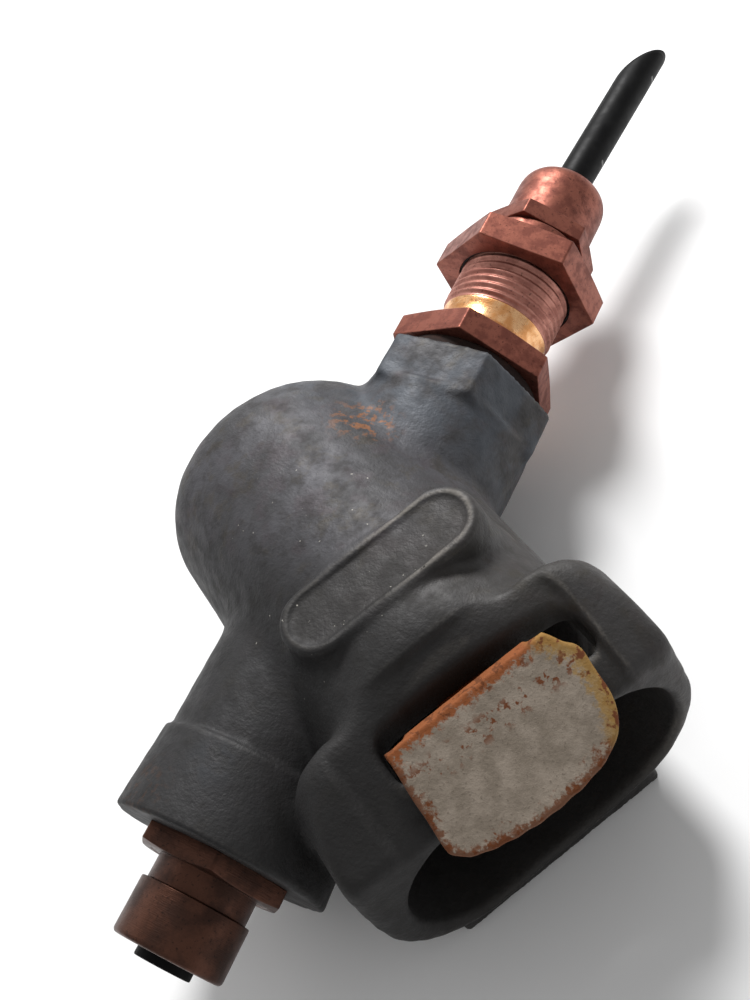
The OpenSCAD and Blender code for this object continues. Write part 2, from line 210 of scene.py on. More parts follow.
# ---------------------------------------------------------------- turned pieces
def hex_radius(angle, flats, turn, corner):
    """Distance of a hexagon's outline from its middle, with corners rounded to a small radius."""
    apothem = flats / 2
    middle = (apothem - corner) / math.cos(math.pi / 6)
    psi = (angle - math.radians(turn) + math.pi / 6) % (math.pi / 3) - math.pi / 6
    limit = math.atan2(corner * 0.5, middle + corner * math.cos(math.pi / 6))
    flat = apothem / np.cos(math.pi / 6 - np.abs(psi))
    inside = np.maximum(corner ** 2 - (middle * np.sin(psi)) ** 2, 0)
    arc = middle * np.cos(psi) + np.sqrt(inside)
    return np.where(np.abs(psi) < limit, arc, flat)


def hex_angles(turn, corner_steps=9, flat_steps=14):
    """Angles round a hexagon, closer together at its corners."""
    near = np.linspace(-2.4, 2.4, corner_steps)
    between = np.linspace(2.4, 57.6, flat_steps + 2)[1:-1]
    one = np.concatenate([near, between])
    return np.radians(np.concatenate([one + 60 * k for k in range(6)]) + turn)


def even_angles(count=160):
    return np.linspace(0, 2 * math.pi, count, endpoint=False)


def rounded(profile, cuts, steps=4):
    """Rounds the corners of closed profiles. profile is [corner, angle, (r, y)]."""
    rows = []
    count = len(profile)
    for k in range(count):
        here = profile[k]
        if cuts[k] <= 0:
            rows.append(here)
            continue
        before = profile[k - 1] - here
        after = profile[(k + 1) % count] - here
        for side in (before, after):
            length = np.maximum(np.linalg.norm(side, axis=1, keepdims=True), 1e-6)
            side *= np.minimum(cuts[k] / length, 0.45)
        for t in np.linspace(0, 1, steps + 1):
            rows.append(here + before * (1 - t) ** 2 + after * t ** 2)
    return np.stack(rows)


def around(rows, angles):
    """Points and faces of rings that close on themselves both ways."""
    radius, height = rows[..., 0], rows[..., 1]
    points = np.stack([radius * np.sin(angles), height, radius * np.cos(angles)], axis=-1)
    high, wide = radius.shape
    index = np.arange(high * wide).reshape(high, wide)
    across = np.roll(index, -1, axis=1)
    up = np.roll(index, -1, axis=0)
    both = np.roll(across, -1, axis=0)
    faces = np.stack([index, across, both, up], axis=-1).reshape(-1, 4)
    return points.reshape(-1, 3), faces


def turned(name, outline, body, material, replaces=(), angles=None):
    """A turned piece. outline lists (radius, height, cut) anticlockwise in the (r, y) plane, and
    each radius is a number or an array over the angles."""
    angles = even_angles() if angles is None else angles
    ones = np.ones_like(angles)
    profile = np.stack([np.stack([r * ones, y * ones], axis=-1) for r, y, _ in outline])
    rows = rounded(profile, [cut for _, _, cut in outline])
    points, faces = around(rows, angles)
    return make_piece(name, points, faces[:, ::-1], body, material, replaces)


def ring_outline(inner, outer, y0, y1, cut=0.25):
    return [(inner, y0, cut), (outer, y0, cut), (outer, y1, cut), (inner, y1, cut)]


def valve_ring(name, node, radii, heights, cut, material):
    """A ring with rounded edges, fixed to the valve, in place of a CAD ring."""
    outline = ring_outline(*radii, *heights, cut)
    return turned(name, outline, "valve", material, [node])


def nut(name, y, flats, turn, bore, body, material, replaces=(), corner=0.35,
        chamfer=(0.5, 0.5), cut=0.16, face_r=0.975, sink=0.0, sink_r=0.0):
    """A hexagon nut with its corner tips turned off above and below."""
    angles = hex_angles(turn)
    side = hex_radius(angles, flats, turn, corner)
    flat_r = flats / 2 * face_r
    low = y[0] + (side - flat_r) * chamfer[0]
    high = y[1] - (side - flat_r) * chamfer[1]
    outline = [(bore, y[0] + 0.35, 0.1), (bore + 0.35, y[0], 0.1), (flat_r, y[0], cut),
               (side, low, cut), (side, high, cut), (flat_r, y[1], cut),
               (bore + 0.35, y[1], 0.1), (bore, y[1] - 0.35, 0.1)]
    if sink:
        outline = [(bore, y[0] + sink, 0.05), (sink_r, y[0] + sink, 0.05),
                   (sink_r, y[0], 0.1)] + outline[2:]
    return turned(name, outline, body, material, replaces, angles)


# ---------------------------------------------------------------- solids from distance fields
def soft_min(a, b, k):
    h = np.clip(0.5 + 0.5 * (b - a) / k, 0, 1)
    return b + (a - b) * h - k * h * (1 - h)


def soft_max(a, b, k):
    return -soft_min(-a, -b, k)


def slab(a, b, middle, half, corner):
    """Signed distance to a rectangle with rounded corners."""
    qa = np.abs(a - middle[0]) - half[0] + corner
    qb = np.abs(b - middle[1]) - half[1] + corner
    return np.minimum(np.maximum(qa, qb), 0) + np.hypot(np.maximum(qa, 0), np.maximum(qb, 0)) - corner


def block(a, b, c, low, high, corner):
    """Signed distance to a box with rounded edges, between two opposite corners."""
    q = [np.abs(v - (lo + hi) / 2) - (hi - lo) / 2 + corner for v, lo, hi in zip((a, b, c), low, high)]
    inside = np.minimum(np.maximum(np.maximum(q[0], q[1]), q[2]), 0)
    outside = np.sqrt(sum(np.maximum(v, 0) ** 2 for v in q))
    return inside + outside - corner


def polygon_field(a, b, corners):
    """Signed distance to a closed outline."""
    best = np.full(a.shape, 1e9)
    sign = np.ones(a.shape)
    for (ax, ay), (bx, by) in zip(corners, corners[1:] + corners[:1]):
        ex, ey = bx - ax, by - ay
        wx, wy = a - ax, b - ay
        t = np.clip((wx * ex + wy * ey) / max(ex * ex + ey * ey, 1e-9), 0, 1)
        best = np.minimum(best, (wx - ex * t) ** 2 + (wy - ey * t) ** 2)
        above, below = b >= ay, b < by
        turn = ex * wy > ey * wx
        flip = (above & below & turn) | (~above & ~below & ~turn)
        sign = np.where(flip, -sign, sign)
    return sign * np.sqrt(best)


def axis_points(low, high, step):
    return np.arange(low, high + step, step)


def sample_near(field, axes, step):
    """Field values on a grid, worked out only near the surface and filled in elsewhere."""
    shape = tuple(len(a) for a in axes)
    leap = 4
    coarse_axes = [a[::leap] for a in axes]
    grid = np.stack(np.meshgrid(*coarse_axes, indexing="ij"), axis=-1).reshape(-1, 3)
    coarse = field(grid).reshape([len(a) for a in coarse_axes])
    for axis in range(3):
        coarse = np.repeat(coarse, leap, axis=axis)
    values = coarse[:shape[0], :shape[1], :shape[2]].astype(np.float32)
    short = [n - m for n, m in zip(shape, values.shape)]
    values = np.pad(values, [(0, s) for s in short], mode="edge")
    near = np.abs(values) < step * leap * 1.9
    where = np.nonzero(near)
    points = np.stack([axes[k][where[k]] for k in range(3)], axis=-1)
    values[where] = field(points)
    return values


def surface_net(values, axes, step):
    """A closed mesh of four-sided faces where the field crosses zero."""
    inside = values < 0
    total = sum(inside[i:inside.shape[0] - 1 + i, j:inside.shape[1] - 1 + j,
                       k:inside.shape[2] - 1 + k].astype(np.int8)
                for i in (0, 1) for j in (0, 1) for k in (0, 1))
    cells = np.nonzero((total > 0) & (total < 8))
    cells = np.stack(cells, axis=-1)
    sums = np.zeros((len(cells), 3))
    hits = np.zeros(len(cells))
    for axis in range(3):
        others = [k for k in range(3) if k != axis]
        for u in (0, 1):
            for v in (0, 1):
                start = np.zeros(3, dtype=int)
                start[others[0]], start[others[1]] = u, v
                end = start.copy()
                end[axis] = 1
                a = values[tuple((cells + start).T)]
                b = values[tuple((cells + end).T)]
                crossed = (a < 0) != (b < 0)
                t = np.where(crossed, a / np.where(crossed, a - b, 1), 0)
                place = np.tile(start.astype(float), (len(cells), 1))
                place[:, axis] = t
                sums += place * crossed[:, None]
                hits += crossed
    low = np.array([a[0] for a in axes])
    points = low + (cells + sums / hits[:, None]) * step
    number = np.full(tuple(n - 1 for n in values.shape), -1, dtype=np.int32)
    number[tuple(cells.T)] = np.arange(len(cells))
    faces = []
    for axis in range(3):
        u, v = [k for k in range(3) if k != axis]
        first = np.moveaxis(inside, axis, 0)
        crossed = first[:-1] != first[1:]
        crossed = np.moveaxis(crossed, 0, axis)
        spots = np.stack(np.nonzero(crossed), axis=-1)
        spots = spots[(spots[:, u] > 0) & (spots[:, v] > 0)]
        corner = [spots.copy() for _ in range(4)]
        corner[1][:, u] -= 1
        corner[2][:, u] -= 1
        corner[2][:, v] -= 1
        corner[3][:, v] -= 1
        quad = np.stack([number[tuple(c.T)] for c in corner], axis=-1)
        starts_inside = inside[tuple(spots.T)]
        if axis == 1:
            starts_inside = ~starts_inside
        quad[starts_inside] = quad[starts_inside][:, ::-1]
        faces.append(quad)
    return points, np.concatenate(faces)


def gradient(field, points, reach=0.04):
    steps = np.eye(3) * reach
    return np.stack([field(points + e) - field(points - e) for e in steps], axis=-1) / (2 * reach)


def pull_to_surface(field, points, rounds=2):
    for _ in range(rounds):
        slope = gradient(field, points)
        size = np.maximum((slope ** 2).sum(axis=1), 0.3)
        move = slope * (field(points) / size)[:, None]
        points = points - np.clip(move, -0.3, 0.3)
    return points


def mesh_field(name, field, low, high, step, body, material, replaces=(), most=180_000):
    """A solid piece where a distance field is negative, thinned to at most so many triangles."""
    axes = [axis_points(a, b, step) for a, b in zip(low, high)]
    points, faces = surface_net(sample_near(field, axes, step), axes, step)
    points = pull_to_surface(field, points)
    piece = make_piece(name, points, faces[:, ::-1], body, material, replaces)
    triangles = 2 * len(faces)
    if triangles > most:
        thin(piece, most / triangles)
    return piece


def thin(piece, ratio):
    """Joins faces where the surface is nearly flat, and keeps the result."""
    less = piece.modifiers.new("less", "DECIMATE")
    less.ratio = ratio
    graph = bpy.context.evaluated_depsgraph_get()
    graph.update()
    mesh = bpy.data.meshes.new_from_object(piece.evaluated_get(graph), depsgraph=graph)
    piece.modifiers.clear()
    old = piece.data
    piece.data = mesh
    bpy.data.meshes.remove(old)
    mesh.shade_smooth()


def mark_relief(piece, field, name, reach):
    """Stores how far the surface bulges (above 0) or is hollow (below 0) at a given reach."""
    points = mesh_points(piece)
    normals = np.empty(points.size)
    piece.data.vertices.foreach_get("normal", normals)
    normals = normals.reshape(-1, 3)
    bulge = 1 + field(points - normals * reach) / reach
    hollow = 1 - field(points + normals * reach) / reach
    store(piece, name, np.clip(bulge, 0, 1) - np.clip(hollow, 0, 1))


def chamber_place(p):
    """A point's place along the chamber's own directions."""
    rise = p[..., 1] - CHAMBER_Y
    return p[..., 0] * COS - rise * SIN, p[..., 0] * SIN + rise * COS, p[..., 2]


# ---------------------------------------------------------------- the casting
def facet_height(s, n):
    return (s - FACET_S) * math.sin(FACET_SLOPE) + (n - FACET_N) * math.cos(FACET_SLOPE)


def facet_run(s, n):
    return (s - FACET_S) * math.cos(FACET_SLOPE) - (n - FACET_N) * math.sin(FACET_SLOPE)


def hood_field(s, w, n):
    """The flared hood, before its front facet is cut."""
    u = w - HOOD_W
    v = n - HOOD_ROLL * u
    half = HOOD_HALF - 0.06 * np.maximum(v, 0)
    upper = slab(u, v, (0, HOOD_TOP - HOOD_REACH), (half, HOOD_REACH), HOOD_TOP_ROUND)
    lower = slab(u, v, (0, HOOD_LOW + HOOD_REACH), (half, HOOD_REACH), HOOD_LOW_ROUND)
    outline = np.maximum(upper, lower)
    hood = soft_max(outline, HOOD_BACK_S - s, 5.0)
    foot = block(s, w, n, (FOOT_S[0], FOOT_W[0], FOOT_N), (FOOT_S[1], FOOT_W[1], -10), 0.7)
    return soft_min(soft_max(hood, s - MOUTH_S, 2.4), foot, 0.8)


def pocket_field(s, w, n):
    """The shallow recess on the hood's front, open towards the mouth."""
    run = facet_run(s, n)
    middle = sum(POCKET_RUN) / 2
    outline = slab(run, w, (middle, POCKET_W), (POCKET_RUN[1] - middle, POCKET_HALF), 6.0)
    return soft_max(outline, -facet_height(s, n), 0.9)


def plaque_outline(s, w):
    """How far a place is outside the plaque's rounded outline."""
    half = (PLAQUE_LEN - PLAQUE_WIDE) / 2
    return np.hypot(s - PLAQUE_S, np.maximum(np.abs(w - PLAQUE_W) - half, 0)) - PLAQUE_WIDE / 2


def plaque_field(s, w, n):
    """The raised plaque with a rim round its blank field."""
    outline = plaque_outline(s, w)
    pad = soft_max(outline + 0.12 * (n - PLAQUE_N), n - PLAQUE_N, 0.9)
    pad = np.maximum(pad, 10 - n)
    field = soft_max(outline + 1.5, PLAQUE_N - 0.45 - n, 0.5)
    return pad, field


def pipe_field(p):
    """Branch, collar, neck and cast hexagon along the pipe."""
    x, y, z = p[..., 0], p[..., 1], p[..., 2]
    away = np.hypot(x, z)
    taper = COLLAR_R - COLLAR_TAPER * (y - COLLAR_Y)
    collar = soft_max(away - taper, np.maximum(COLLAR_Y - y, y - COLLAR_TOP_Y), 0.7)
    branch = np.maximum(away - BRANCH_R, np.maximum(BRANCH_LOW_Y - y, y - CHAMBER_Y))
    hexagon = np.full(x.shape, -1e3)
    for k in range(6):
        turn = math.radians(CAST_HEX_TURN + 30 + 60 * k)
        hexagon = np.maximum(hexagon, x * math.sin(turn) + z * math.cos(turn) - CAST_HEX_AF / 2)
    ends = np.maximum(CHAMBER_Y - y, y - NECK_TOP)
    prism = np.maximum(hexagon, np.maximum(away - HEX_CORNER_R, y - NECK_TOP))
    prism = soft_max(prism, (HEX_FLAT_Y - y) + 0.8 * (away - NECK_R), 0.5)
    neck = soft_max(away - NECK_R, np.maximum(ends, y - HEX_FLAT_Y - 1.5), 0.6)
    neck = soft_min(neck, prism, 0.7)
    return soft_min(branch, collar, 0.5), neck


def chamber_field(away, y, s, w, n):
    """The round chamber, less the pivot's two posts and the block that holds the seat."""
    middle, half = (FAR + CHAMBER_BACK) / 2, (FAR - CHAMBER_BACK) / 2
    across = np.hypot(w - CHAMBER_SHIFT, n)
    chamber = slab(s, across, (middle, 0), (half, CHAMBER_R), CHAMBER_ROUND)
    chamber = np.maximum(chamber, s - CHAMBER_FRONT)
    post = np.hypot(s - PIVOT_S, w)
    posts = np.minimum(np.maximum(post - 4, n - 7), np.maximum(post - 4.5, 11.4 - n))
    chamber = np.maximum(chamber, -posts)
    seat_block = np.maximum(away - (BRANCH_R - 1), y - SEAT_TOP_Y)
    return np.maximum(chamber, -seat_block)


def mouth_field(s, w, n):
    """The discharge opening, which flares a little at its lip."""
    u = w - MOUTH_W
    v = n - HOOD_ROLL * u
    middle = (MOUTH_TOP + MOUTH_LOW) / 2
    mouth = slab(u, v, (0, middle), (MOUTH_HALF, MOUTH_TOP - middle), MOUTH_ROUND)
    flare = np.maximum(s - (MOUTH_S - 1.6), 0) ** 2 * 0.14
    return np.maximum(mouth - flare, MOUTH_BACK - s)


def slot_field(s, w, n):
    """The slightly arced slot in the hood's facet, where the tongue's riser comes through."""
    bend = 0.005 * (w + 3) ** 2
    middle_s, middle_w = sum(SLOT_S) / 2, sum(SLOT_W) / 2
    half = ((SLOT_S[1] - SLOT_S[0]) / 2, SLOT_W[1] - middle_w)
    return np.maximum(slab(s - bend, w, (middle_s, middle_w), half, 2.4), 8 - n)


def hollow_field(p, s, w, n):
    """Everything else that is hollow: chamber, mouth, the arm's space and all the bores."""
    y = p[..., 1]
    away = np.hypot(p[..., 0], p[..., 2])
    arm_space = np.minimum(block(s, w, n, (20, -10, 0), (34, 9, ARM_TOP), 0.5),
                           block(s, w, n, (32.5, SLOT_W[0], 0), (42, SLOT_W[1], ARM_TOP), 0.5))
    hollow = np.minimum(chamber_field(away, y, s, w, n), arm_space)
    hollow = soft_min(hollow, mouth_field(s, w, n), 1.0)
    for radius, low, high in BORES:
        hollow = np.minimum(hollow, np.maximum(away - radius, np.maximum(low - y, y - high)))
    post = np.hypot(s - PIVOT_S, w)
    pin = np.maximum(post - 2.0, np.maximum(n - 16.1, FOOT_N - 3 - n))
    plug = np.maximum(post - 3.5, n - FOOT_N - 2.2)
    return np.minimum(hollow, np.minimum(pin, plug))


def wobble(p):
    """The slight unevenness of a rough casting."""
    x, y, z = p[..., 0], p[..., 1], p[..., 2]
    long_wave = np.sin(0.31 * x + 0.7) * np.sin(0.27 * y) * np.sin(0.33 * z + 0.4)
    short_wave = np.sin(1.13 * x + 0.8 * y) * np.sin(1.31 * z - 0.6 * y + 0.5)
    return 0.09 * long_wave + 0.035 * short_wave


def casting_field(p):
    """The whole casting: outer shape, then plaque and unevenness, then what is hollow."""
    s, w, n = chamber_place(p)
    away = np.hypot(w - BARREL_SHIFT, n)
    middle, half = (FAR + DOME_S) / 2, (FAR - DOME_S) / 2
    barrel = slab(s, away, (middle, 0), (half, BARREL_R), DOME_ROUND)
    barrel = np.maximum(barrel, s - 36)
    branch, neck = pipe_field(p)
    body = soft_min(barrel, hood_field(s, w, n), 1.4)
    body = soft_max(body, facet_height(s, n) - POCKET_RIM, 1.7)
    body = soft_max(body, -pocket_field(s, w, n), 0.9)
    body = soft_min(body, neck, 1.6)
    body = soft_min(body, branch, 2.0)
    pad, blank = plaque_field(s, w, n)
    body = soft_max(soft_min(body, pad, 1.3), -blank, 0.6)
    body = body + wobble(p)
    body = soft_max(body, -slot_field(s, w, n), 1.0)
    return soft_max(body, -hollow_field(p, s, w, n), 0.9)


def make_casting(material):
    """The casting's mesh, with what its material needs to know stored on it."""
    low, high = (np.array(corner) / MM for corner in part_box("valve_body"))
    step = 0.5
    piece = mesh_field("valve_casting", casting_field, low - 1.5, high + 1.5, step, "valve",
                       material, ["valve_body"])
    mark_relief(piece, casting_field, "fine_relief", 0.7)
    mark_relief(piece, casting_field, "broad_relief", 2.6)
    mark_blank(piece)


def mark_blank(piece):
    """Stores 1 on the plaque's blank field and 0 elsewhere."""
    s, w, n = chamber_place(mesh_points(piece))
    blank = np.clip(-(plaque_outline(s, w) + 1.0), 0, 1) * (n > PLAQUE_N - 3)
    store(piece, "blank", blank)


# ---------------------------------------------------------------- material nodes
def linear(red, green, blue):
    """A colour given as it shows on a screen, 0 to 255, in the renderer's own numbers."""
    return tuple(((v / 255 + 0.055) / 1.055) ** 2.4 for v in (red, green, blue)) + (1.0,)


class Look:
    """One material, and the few kinds of node that its pattern is made of."""

    def __init__(self, name, metallic, roughness):
        self.material = bpy.data.materials.new(name)
        self.material.use_nodes = True
        self.tree = self.material.node_tree
        self.shader = self.tree.nodes["Principled BSDF"]
        self.shader.inputs["Metallic"].default_value = metallic
        self.shader.inputs["Roughness"].default_value = roughness
        place = self.tree.nodes.new("ShaderNodeTexCoord").outputs["Object"]
        self.place = self.add("ShaderNodeVectorMath", {0: place, 3: 1 / MM}, operation="SCALE")

    def add(self, kind, values, output=0, **settings):
        node = self.tree.nodes.new(kind)
        for key, value in settings.items():
            setattr(node, key, value)
        for key, value in values.items():
            if isinstance(value, bpy.types.NodeSocket):
                self.tree.links.new(value, node.inputs[key])
            else:
                node.inputs[key].default_value = value
        return node.outputs[output]

    def noise(self, size, detail=3.0, rough=0.55, shift=0.0):
        """Noise whose blotches are about size millimetres wide."""
        place = self.add("ShaderNodeVectorMath", {0: self.place, 1: (shift, shift, -shift)})
        values = {"Vector": place, "Scale": 1 / size, "Detail": detail, "Roughness": rough}
        return self.add("ShaderNodeTexNoise", values)

    def ramp(self, value, start, end, low=0.0, high=1.0):
        """low where the value is under start, high over end, smooth between."""
        values = {"Value": value, "From Min": start, "From Max": end, "To Min": low, "To Max": high}
        return self.add("ShaderNodeMapRange", values, interpolation_type="SMOOTHSTEP")

    def sum(self, operation, a, b):
        return self.add("ShaderNodeMath", {0: a, 1: b}, operation=operation)

    def blend(self, factor, a, b):
        values = {"Factor": factor, 6: a, 7: b}
        return self.add("ShaderNodeMix", values, output=2, data_type="RGBA")

    def stored(self, name):
        return self.add("ShaderNodeAttribute", {}, output=2, attribute_name=name)

    def across(self, axis):
        parts = self.tree.nodes.new("ShaderNodeSeparateXYZ")
        self.tree.links.new(self.place, parts.inputs[0])
        return parts.outputs[axis]

    def near(self, point, reach, soft):
        """1 within reach millimetres of a point, falling to 0 over soft millimetres."""
        away = self.add("ShaderNodeVectorMath", {0: self.place, 1: point}, output=1,
                        operation="DISTANCE")
        return self.ramp(away, reach, reach + soft, 1.0, 0.0)

    def finish(self, colour, roughness=None, height=None, depth=0.05):
        """Links the colour, roughness and bump; depth is the bump's height in millimetres."""
        self.tree.links.new(colour, self.shader.inputs["Base Color"])
        if roughness is not None:
            self.tree.links.new(roughness, self.shader.inputs["Roughness"])
        if height is not None:
            bump = self.add("ShaderNodeBump", {"Height": height, "Distance": depth * MM,
                                               "Strength": 1.0})
            self.tree.links.new(bump, self.shader.inputs["Normal"])
        return self.material


def cast_look():
    """Grey cast metal, with painted shade in its hollows, over the hood, on the branch and towards the
    floor, and a painted highlight on the collar; a little brighter on its worn edges, rust in few places.
    """
    look = Look("cast_metal_sand_cast", 0.3, 0.6)
    cloud = look.noise(9.0, 4.0, 0.6)
    patch = look.noise(2.6, 4.0, 0.6, 31.0)
    grain = look.noise(0.55, 3.0, 0.6, 7.0)
    colour = look.blend(look.ramp(cloud, 0.35, 0.65), linear(58, 57, 59), linear(76, 75, 79))
    violet = look.ramp(look.noise(5.0, 3.0, 0.6, 90.0), 0.5, 0.68, 0.0, 0.6)
    colour = look.blend(violet, colour, linear(68, 60, 64))
    brown = look.ramp(look.noise(4.0, 4.0, 0.65, 120.0), 0.52, 0.7, 0.0, 0.6)
    colour = look.blend(brown, colour, linear(64, 57, 46))
    colour = look.blend(look.ramp(patch, 0.5, 0.72, 0.0, 0.6), colour, linear(46, 43, 42))
    # Painted shade: darker and browner towards the hood and mouth, where the key light hardly reaches.
    forward = look.ramp(look.across(0), 2.0, 30.0)
    colour = look.blend(look.sum("MULTIPLY", forward, 0.6), colour, linear(54, 51, 46))
    colour = look.blend(look.ramp(grain, 0.6, 0.8, 0.0, 0.45), colour, linear(36, 34, 32))
    colour = look.blend(look.ramp(grain, 0.18, 0.38, 0.3, 0.0), colour, linear(102, 101, 103))
    broad, fine = look.stored("broad_relief"), look.stored("fine_relief")
    # Painted shade: dark in the broad hollows of the casting, in place of shade from the light.
    colour = look.blend(look.ramp(broad, -0.05, -0.6, 0.0, 0.7), colour, linear(26, 23, 20))
    # Painted highlight: a pale silvery-blue patch on the collar's front, where light is reflected.
    painted_collar_highlight = look.sum("MULTIPLY", look.near((2.5, 24.0, 16.0), 1.0, 4.5), look.ramp(patch, 0.4, 0.6))
    colour = look.blend(look.sum("MULTIPLY", painted_collar_highlight, 0.7), colour, linear(116, 121, 130))
    edge = look.sum("MULTIPLY", look.ramp(fine, 0.08, 0.4), look.ramp(patch, 0.3, 0.55, 0.25, 0.9))
    colour = look.blend(edge, colour, linear(116, 111, 105))
    blue = look.sum("MULTIPLY", look.ramp(look.across(1), 76.0, 86.0), look.ramp(cloud, 0.4, 0.6))
    colour = look.blend(look.sum("MULTIPLY", blue, 0.8), colour, linear(70, 75, 82))
    rust = look.near((-3.0, 79.0, 14.5), 2.0, 6.0)
    rust = look.sum("MAXIMUM", rust, look.near((-6.0, 17.0, 15.1), 1.0, 6.0))
    rust = look.sum("MULTIPLY", rust, look.ramp(look.noise(1.3, 4.0, 0.6, 3.0), 0.5, 0.62))
    colour = look.blend(rust, colour, linear(130, 84, 50))
    # Painted shade: the branch and collar, low down on the pipe, are made darker.
    branch = look.sum("MULTIPLY", look.ramp(look.across(1), 60.0, 46.0), 0.85)
    colour = look.blend(branch, colour, linear(26, 25, 25))
    colour = look.blend(look.sum("MULTIPLY", look.stored("blank"), 0.55), colour, linear(40, 37, 35))
    fleck = look.sum("MULTIPLY", look.ramp(look.noise(1.0, 2.0, 0.5, 60.0), 0.73, 0.77),
                     look.near((4.0, 52.0, 22.0), 14.0, 8.0))
    colour = look.blend(fleck, colour, linear(168, 164, 156))
    # Painted shade: darker towards the floor side of the casting.
    low = look.sum("MULTIPLY", look.ramp(look.across(2), -4.0, -20.0), 0.4)
    colour = look.blend(low, colour, linear(38, 35, 32))
    rough = look.ramp(patch, 0.3, 0.7, 0.55, 0.72)
    height = look.sum("ADD", look.sum("MULTIPLY", grain, 0.55), patch)
    return look.finish(colour, rough, height, 0.16)


def metal_look(name, bright, dull, dark, rough=(0.42, 0.56), metallic=0.8, depth=0.03,
               patch_size=2.2):
    """Worn plated or bare metal: two tones in patches, dark specks, fine tooling marks."""
    look = Look(name, metallic, rough[0])
    patch = look.noise(patch_size, 4.0, 0.6, 5.0)
    speck = look.noise(0.5, 3.0, 0.6, 17.0)
    marks = look.add("ShaderNodeVectorMath", {0: look.place, 1: (0.6, 6.0, 0.6)},
                     operation="MULTIPLY")
    marks = look.add("ShaderNodeTexNoise", {"Vector": marks, "Scale": 1.0, "Detail": 2.0})
    colour = look.blend(look.ramp(patch, 0.38, 0.62), linear(*dull), linear(*bright))
    colour = look.blend(look.ramp(speck, 0.58, 0.72, 0.0, 0.8), colour, linear(*dark))
    roughness = look.ramp(patch, 0.3, 0.7, rough[1], rough[0])
    height = look.sum("ADD", marks, look.sum("MULTIPLY", speck, 0.8))
    return look.finish(colour, roughness, height, depth)


def soft_look(name, base, worn, rough, size=0.6, depth=0.03, specular=0.3):
    """Rubber, plastic or fibre: a dull colour with fine grain and faint lighter scuffs."""
    look = Look(name, 0.0, rough)
    look.shader.inputs["Specular IOR Level"].default_value = specular
    grain = look.noise(size, 3.0, 0.6, 2.0)
    scuff = look.noise(3.0, 4.0, 0.65, 11.0)
    colour = look.blend(look.ramp(scuff, 0.52, 0.75, 0.0, 0.8), linear(*base), linear(*worn))
    colour = look.blend(look.ramp(grain, 0.6, 0.75, 0.0, 0.3), colour, linear(*worn))
    roughness = look.ramp(scuff, 0.3, 0.7, rough, min(rough + 0.15, 1))
    return look.finish(colour, roughness, grain, depth)


def tube_look():
    """Black plastic tube with two short white marks on its side."""
    look = Look("black_plastic_tube", 0.0, 0.5)
    look.shader.inputs["Specular IOR Level"].default_value = 0.12
    scuff = look.noise(3.0, 4.0, 0.65, 11.0)
    colour = look.blend(look.ramp(scuff, 0.45, 0.75), linear(8, 8, 9), linear(18, 18, 19))
    mark = 0.0
    for height, shift in ((154.2, 0.6), (177.0, 1.95)):
        for degrees in (114, 107, 100, 93):
            turn = math.radians(degrees)
            spot = (shift + TUBE_R * math.sin(turn), height, TUBE_R * math.cos(turn))
            mark = look.sum("MAXIMUM", mark, look.near(spot, 0.22, 0.22))
    colour = look.blend(look.sum("MULTIPLY", mark, 0.6), colour, linear(150, 150, 148))
    return look.finish(colour, look.ramp(scuff, 0.3, 0.7, 0.45, 0.6), scuff, 0.02)


def tongue_look():
    """Dull zinc plate with rust along its rim, stored on the mesh as distance, run and place."""
    look = Look("rusty_zinc_plate", 0.35, 0.5)
    rim, run, side = look.stored("rim"), look.stored("run"), look.stored("side")
    grain = look.noise(0.45, 3.0, 0.65, 9.0)
    patch = look.noise(3.0, 4.0, 0.6, 4.0)
    ragged = look.noise(0.9, 4.0, 0.65, 21.0)
    colour = look.blend(look.ramp(patch, 0.35, 0.65), linear(136, 124, 110), linear(160, 147, 133))
    colour = look.blend(look.ramp(grain, 0.55, 0.72, 0.0, 0.6), colour, linear(104, 93, 80))
    reach = look.sum("ADD", look.sum("MULTIPLY", look.sum("SUBTRACT", ragged, 0.5), 5.0), rim)
    colour = look.blend(look.ramp(reach, 1.1, 0.2), colour, linear(118, 80, 58))
    top = look.sum("MULTIPLY", look.ramp(reach, 1.5, 0.4), look.ramp(run, 3.0, 1.0))
    colour = look.blend(top, colour, linear(146, 84, 44))
    gold = look.sum("MULTIPLY", look.ramp(reach, 2.4, 1.2), look.ramp(side, 8.0, 11.0))
    colour = look.blend(look.sum("MULTIPLY", gold, 0.8), colour, linear(160, 126, 66))
    spots = look.ramp(look.noise(1.5, 3.0, 0.6, 40.0), 0.53, 0.6)
    line = look.sum("MULTIPLY", look.ramp(run, 2.0, 4.0), look.ramp(run, 7.0, 5.0))
    spots = look.sum("MULTIPLY", spots, look.sum("MAXIMUM", line, look.ramp(reach, 2.0, 0.6)))
    colour = look.blend(spots, colour, linear(112, 62, 30))
    height = look.sum("ADD", grain, ragged)
    return look.finish(colour, look.ramp(reach, 0.5, 2.5, 0.8, 0.48), height, 0.08)


